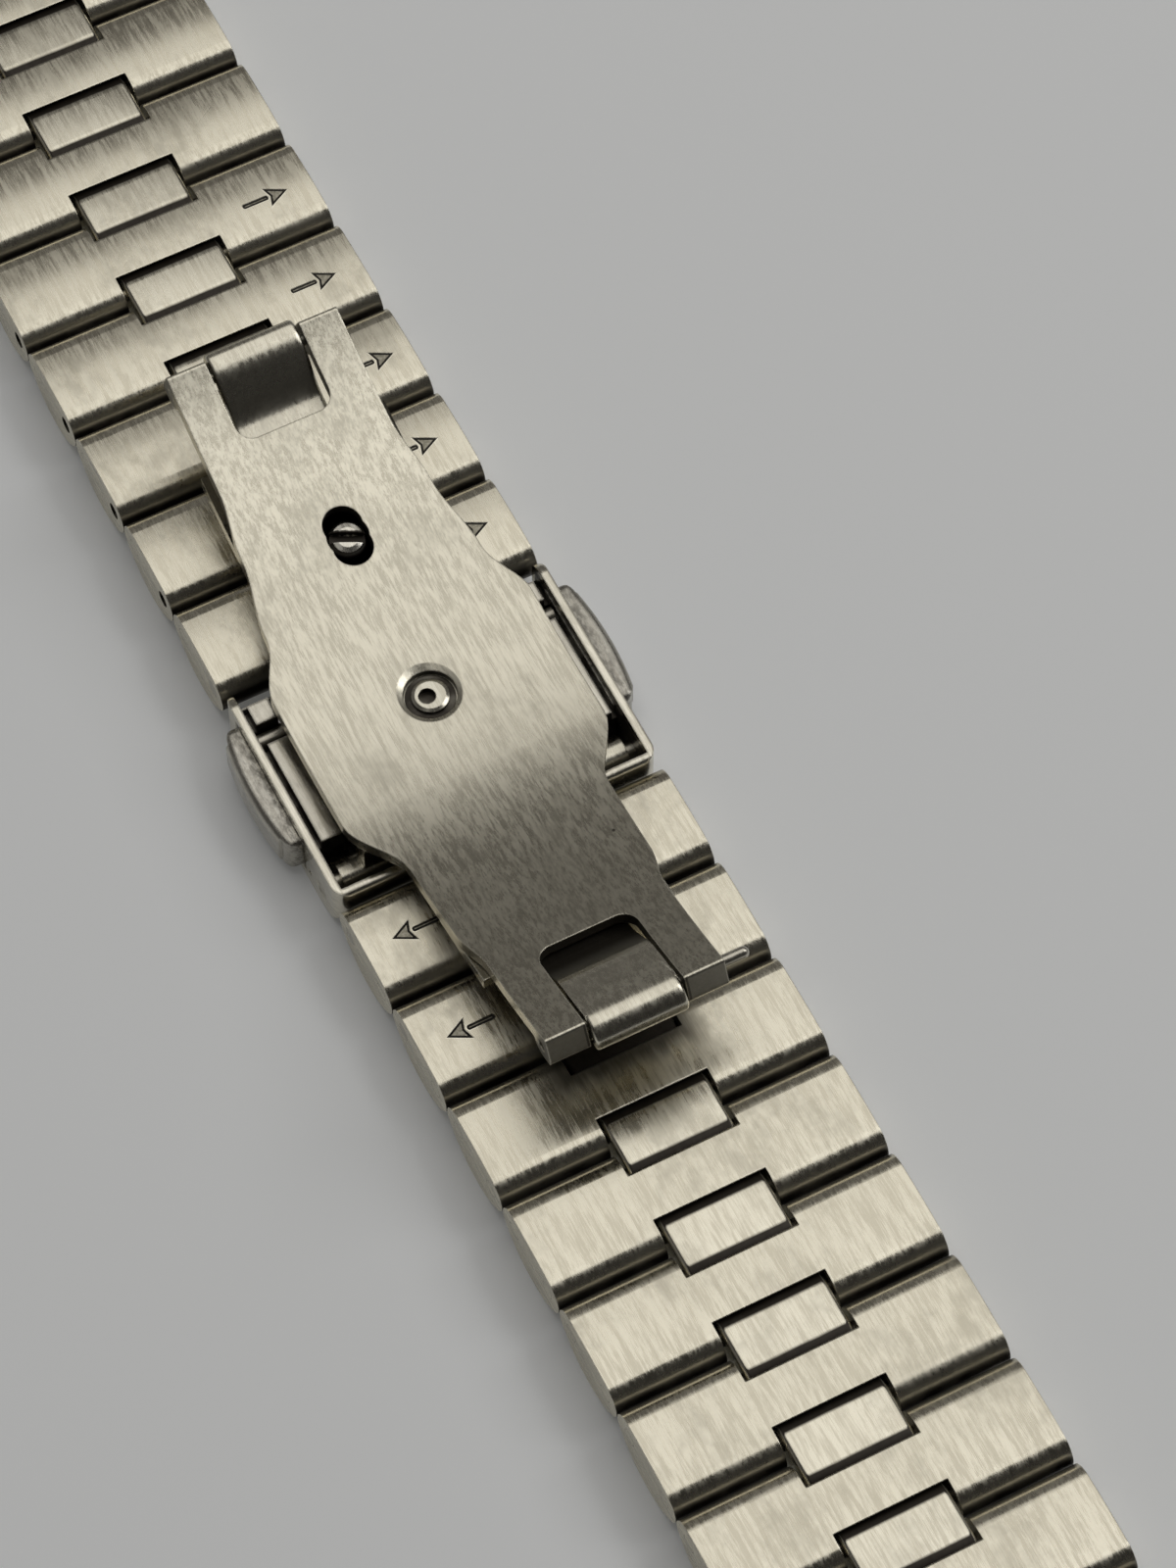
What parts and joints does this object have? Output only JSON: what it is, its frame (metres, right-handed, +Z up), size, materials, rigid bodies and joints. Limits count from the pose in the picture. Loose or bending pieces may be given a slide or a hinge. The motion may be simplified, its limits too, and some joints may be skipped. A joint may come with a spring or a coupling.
{
  "type": "watch bracelet",
  "caption": "Brushed steel watch bracelet of wide links and narrow connectors, with a two-blade folding clasp and side push buttons.",
  "frame": {"origin": "on the floor under the middle of the clasp box, which is the middle of the band's length and width", "axes": "+X across the band, to the right in the picture; +Y along the band, towards side A; +Z up, towards the wrist"},
  "size_m": [0.0228, 0.134, 0.0111],
  "materials": {
    "brushed_steel": "brushed along the band",
    "polished_steel": "polished",
    "spring_steel": "drawn wire"
  },
  "bodies": {
    "plate": {"centre_plate": "brushed_steel", "locking_stud": "polished_steel", "hinge_pin_a": "polished_steel", "hinge_pin_b": "polished_steel"},
    "blade_a": {"blade_a": "brushed_steel", "snap_stud": "polished_steel"},
    "blade_b": {"blade_b": "brushed_steel"},
    "box": {"clasp_box": "brushed_steel", "box_pin": "polished_steel", "guide_rod": "polished_steel", "spring_left": "spring_steel", "spring_right": "spring_steel"},
    "button_left": {"button_left": "polished_steel", "slider_left": "polished_steel"},
    "button_right": {"button_right": "polished_steel", "slider_right": "polished_steel"},
    "link_a1": {"link_a1": "brushed_steel", "pin_a1": "polished_steel"},
    "link_a2": {"link_a2": "brushed_steel", "pin_a2": "polished_steel"},
    "link_a3": {"link_a3": "brushed_steel", "pin_a3": "polished_steel"},
    "link_a4": {"link_a4": "brushed_steel", "pin_a4": "polished_steel"},
    "link_a5": {"link_a5": "brushed_steel", "pin_a5": "polished_steel"},
    "link_a6": {"link_a6": "brushed_steel"},
    "link_a7": {"link_a7": "brushed_steel"},
    "link_a8": {"link_a8": "brushed_steel"},
    "end_link_a": {"end_link_a": "brushed_steel"},
    "connector_a1": {"connector_a1": "brushed_steel"},
    "connector_a2": {"connector_a2": "brushed_steel"},
    "connector_a3": {"connector_a3": "brushed_steel"},
    "connector_a4": {"connector_a4": "brushed_steel"},
    "connector_a5": {"connector_a5": "brushed_steel"},
    "connector_a6": {"connector_a6": "brushed_steel"},
    "connector_a7": {"connector_a7": "brushed_steel"},
    "connector_a8": {"connector_a8": "brushed_steel"},
    "link_b1": {"link_b1": "brushed_steel", "pin_b1": "polished_steel"},
    "link_b2": {"link_b2": "brushed_steel", "pin_b2": "polished_steel"},
    "link_b3": {"link_b3": "brushed_steel"},
    "link_b4": {"link_b4": "brushed_steel"},
    "link_b5": {"link_b5": "brushed_steel"},
    "link_b6": {"link_b6": "brushed_steel"},
    "link_b7": {"link_b7": "brushed_steel"},
    "link_b8": {"link_b8": "brushed_steel"},
    "end_link_b": {"end_link_b": "brushed_steel"},
    "connector_b0": {"connector_b0": "brushed_steel"},
    "connector_b1": {"connector_b1": "brushed_steel"},
    "connector_b2": {"connector_b2": "brushed_steel"},
    "connector_b3": {"connector_b3": "brushed_steel"},
    "connector_b4": {"connector_b4": "brushed_steel"},
    "connector_b5": {"connector_b5": "brushed_steel"},
    "connector_b6": {"connector_b6": "brushed_steel"},
    "connector_b7": {"connector_b7": "brushed_steel"},
    "connector_b8": {"connector_b8": "brushed_steel"}
  },
  "joints": [
    {"name": "blade_a_hinge", "type": "hinge", "parent": "plate", "child": "blade_a", "pos_m": [0, 0.0232, 0.00999], "axis": [1, 0, 0], "range_deg": [0, 160]},
    {"name": "link_a1_hinge", "type": "hinge", "parent": "blade_a", "child": "link_a1", "pos_m": [0, 0.0089, 0.00235], "axis": [1, 0, 0], "range_deg": [-160, 0]},
    {"name": "blade_b_hinge", "type": "hinge", "parent": "plate", "child": "blade_b", "pos_m": [0, -0.0232, 0.00999], "axis": [1, 0, 0], "range_deg": [-90, 0]},
    {"name": "box_hinge", "type": "hinge", "parent": "blade_b", "child": "box", "pos_m": [0, -0.0052, 0.00175], "axis": [1, 0, 0], "range_deg": [0, 90]},
    {"name": "button_left_press", "type": "slide", "parent": "box", "child": "button_left", "axis": [1, 0, 0], "range_m": [0, 0.0008], "stiffness_N_per_m": 800, "springref_m": -0.0005, "deforming": ["spring_left"]},
    {"name": "button_right_press", "type": "slide", "parent": "box", "child": "button_right", "axis": [-1, 0, 0], "range_m": [0, 0.0008], "stiffness_N_per_m": 800, "springref_m": -0.0005, "deforming": ["spring_right"]},
    {"name": "connector_a1_hinge", "type": "hinge", "parent": "link_a1", "child": "connector_a1", "pos_m": [0, 0.0128, 0.00235], "axis": [1, 0, 0], "range_deg": [-8, 16]},
    {"name": "link_a2_hinge", "type": "hinge", "parent": "connector_a1", "child": "link_a2", "pos_m": [0, 0.0156, 0.00235], "axis": [-1, 0, 0], "range_deg": [-16, 8]},
    {"name": "connector_a2_hinge", "type": "hinge", "parent": "link_a2", "child": "connector_a2", "pos_m": [0, 0.0195, 0.00235], "axis": [1, 0, 0], "range_deg": [-8, 16]},
    {"name": "link_a3_hinge", "type": "hinge", "parent": "connector_a2", "child": "link_a3", "pos_m": [0, 0.0223, 0.00235], "axis": [-1, 0, 0], "range_deg": [-16, 8]},
    {"name": "connector_a3_hinge", "type": "hinge", "parent": "link_a3", "child": "connector_a3", "pos_m": [0, 0.0262, 0.00235], "axis": [1, 0, 0], "range_deg": [-8, 16]},
    {"name": "link_a4_hinge", "type": "hinge", "parent": "connector_a3", "child": "link_a4", "pos_m": [0, 0.029, 0.00235], "axis": [-1, 0, 0], "range_deg": [-16, 8]},
    {"name": "connector_a4_hinge", "type": "hinge", "parent": "link_a4", "child": "connector_a4", "pos_m": [0, 0.0329, 0.00235], "axis": [1, 0, 0], "range_deg": [-8, 16]},
    {"name": "link_a5_hinge", "type": "hinge", "parent": "connector_a4", "child": "link_a5", "pos_m": [0, 0.0357, 0.00235], "axis": [-1, 0, 0], "range_deg": [-16, 8]},
    {"name": "connector_a5_hinge", "type": "hinge", "parent": "link_a5", "child": "connector_a5", "pos_m": [0, 0.0396, 0.00235], "axis": [1, 0, 0], "range_deg": [-8, 16]},
    {"name": "link_a6_hinge", "type": "hinge", "parent": "connector_a5", "child": "link_a6", "pos_m": [0, 0.0424, 0.00235], "axis": [-1, 0, 0], "range_deg": [-16, 8]},
    {"name": "connector_a6_hinge", "type": "hinge", "parent": "link_a6", "child": "connector_a6", "pos_m": [0, 0.0463, 0.00235], "axis": [1, 0, 0], "range_deg": [-8, 16]},
    {"name": "link_a7_hinge", "type": "hinge", "parent": "connector_a6", "child": "link_a7", "pos_m": [0, 0.0491, 0.00235], "axis": [-1, 0, 0], "range_deg": [-16, 8]},
    {"name": "connector_a7_hinge", "type": "hinge", "parent": "link_a7", "child": "connector_a7", "pos_m": [0, 0.053, 0.00235], "axis": [1, 0, 0], "range_deg": [-8, 16]},
    {"name": "link_a8_hinge", "type": "hinge", "parent": "connector_a7", "child": "link_a8", "pos_m": [0, 0.0558, 0.00235], "axis": [-1, 0, 0], "range_deg": [-16, 8]},
    {"name": "connector_a8_hinge", "type": "hinge", "parent": "link_a8", "child": "connector_a8", "pos_m": [0, 0.0597, 0.00235], "axis": [1, 0, 0], "range_deg": [-8, 16]},
    {"name": "end_link_a_hinge", "type": "hinge", "parent": "connector_a8", "child": "end_link_a", "pos_m": [0, 0.0625, 0.00235], "axis": [-1, 0, 0], "range_deg": [-16, 8]},
    {"name": "connector_b0_hinge", "type": "hinge", "parent": "box", "child": "connector_b0", "pos_m": [0, -0.0052, 0.00175], "axis": [-1, 0, 0], "range_deg": [-8, 4]},
    {"name": "link_b1_hinge", "type": "hinge", "parent": "connector_b0", "child": "link_b1", "pos_m": [0, -0.0089, 0.00235], "axis": [1, 0, 0], "range_deg": [-16, 8]},
    {"name": "connector_b1_hinge", "type": "hinge", "parent": "link_b1", "child": "connector_b1", "pos_m": [0, -0.0128, 0.00235], "axis": [-1, 0, 0], "range_deg": [-8, 16]},
    {"name": "link_b2_hinge", "type": "hinge", "parent": "connector_b1", "child": "link_b2", "pos_m": [0, -0.0156, 0.00235], "axis": [1, 0, 0], "range_deg": [-16, 8]},
    {"name": "connector_b2_hinge", "type": "hinge", "parent": "link_b2", "child": "connector_b2", "pos_m": [0, -0.0195, 0.00235], "axis": [-1, 0, 0], "range_deg": [-8, 16]},
    {"name": "link_b3_hinge", "type": "hinge", "parent": "connector_b2", "child": "link_b3", "pos_m": [0, -0.0223, 0.00235], "axis": [1, 0, 0], "range_deg": [-16, 8]},
    {"name": "connector_b3_hinge", "type": "hinge", "parent": "link_b3", "child": "connector_b3", "pos_m": [0, -0.0262, 0.00235], "axis": [-1, 0, 0], "range_deg": [-8, 16]},
    {"name": "link_b4_hinge", "type": "hinge", "parent": "connector_b3", "child": "link_b4", "pos_m": [0, -0.029, 0.00235], "axis": [1, 0, 0], "range_deg": [-16, 8]},
    {"name": "connector_b4_hinge", "type": "hinge", "parent": "link_b4", "child": "connector_b4", "pos_m": [0, -0.0329, 0.00235], "axis": [-1, 0, 0], "range_deg": [-8, 16]},
    {"name": "link_b5_hinge", "type": "hinge", "parent": "connector_b4", "child": "link_b5", "pos_m": [0, -0.0357, 0.00235], "axis": [1, 0, 0], "range_deg": [-16, 8]},
    {"name": "connector_b5_hinge", "type": "hinge", "parent": "link_b5", "child": "connector_b5", "pos_m": [0, -0.0396, 0.00235], "axis": [-1, 0, 0], "range_deg": [-8, 16]},
    {"name": "link_b6_hinge", "type": "hinge", "parent": "connector_b5", "child": "link_b6", "pos_m": [0, -0.0424, 0.00235], "axis": [1, 0, 0], "range_deg": [-16, 8]},
    {"name": "connector_b6_hinge", "type": "hinge", "parent": "link_b6", "child": "connector_b6", "pos_m": [0, -0.0463, 0.00235], "axis": [-1, 0, 0], "range_deg": [-8, 16]},
    {"name": "link_b7_hinge", "type": "hinge", "parent": "connector_b6", "child": "link_b7", "pos_m": [0, -0.0491, 0.00235], "axis": [1, 0, 0], "range_deg": [-16, 8]},
    {"name": "connector_b7_hinge", "type": "hinge", "parent": "link_b7", "child": "connector_b7", "pos_m": [0, -0.053, 0.00235], "axis": [-1, 0, 0], "range_deg": [-8, 16]},
    {"name": "link_b8_hinge", "type": "hinge", "parent": "connector_b7", "child": "link_b8", "pos_m": [0, -0.0558, 0.00235], "axis": [1, 0, 0], "range_deg": [-16, 8]},
    {"name": "connector_b8_hinge", "type": "hinge", "parent": "link_b8", "child": "connector_b8", "pos_m": [0, -0.0597, 0.00235], "axis": [-1, 0, 0], "range_deg": [-8, 16]},
    {"name": "end_link_b_hinge", "type": "hinge", "parent": "connector_b8", "child": "end_link_b", "pos_m": [0, -0.0625, 0.00235], "axis": [1, 0, 0], "range_deg": [-16, 8]}
  ],
  "couplings": [
    {"joint": "link_a1_hinge", "follows": "blade_a_hinge", "ratio": -1},
    {"joint": "box_hinge", "follows": "blade_b_hinge", "ratio": -1}
  ]
}
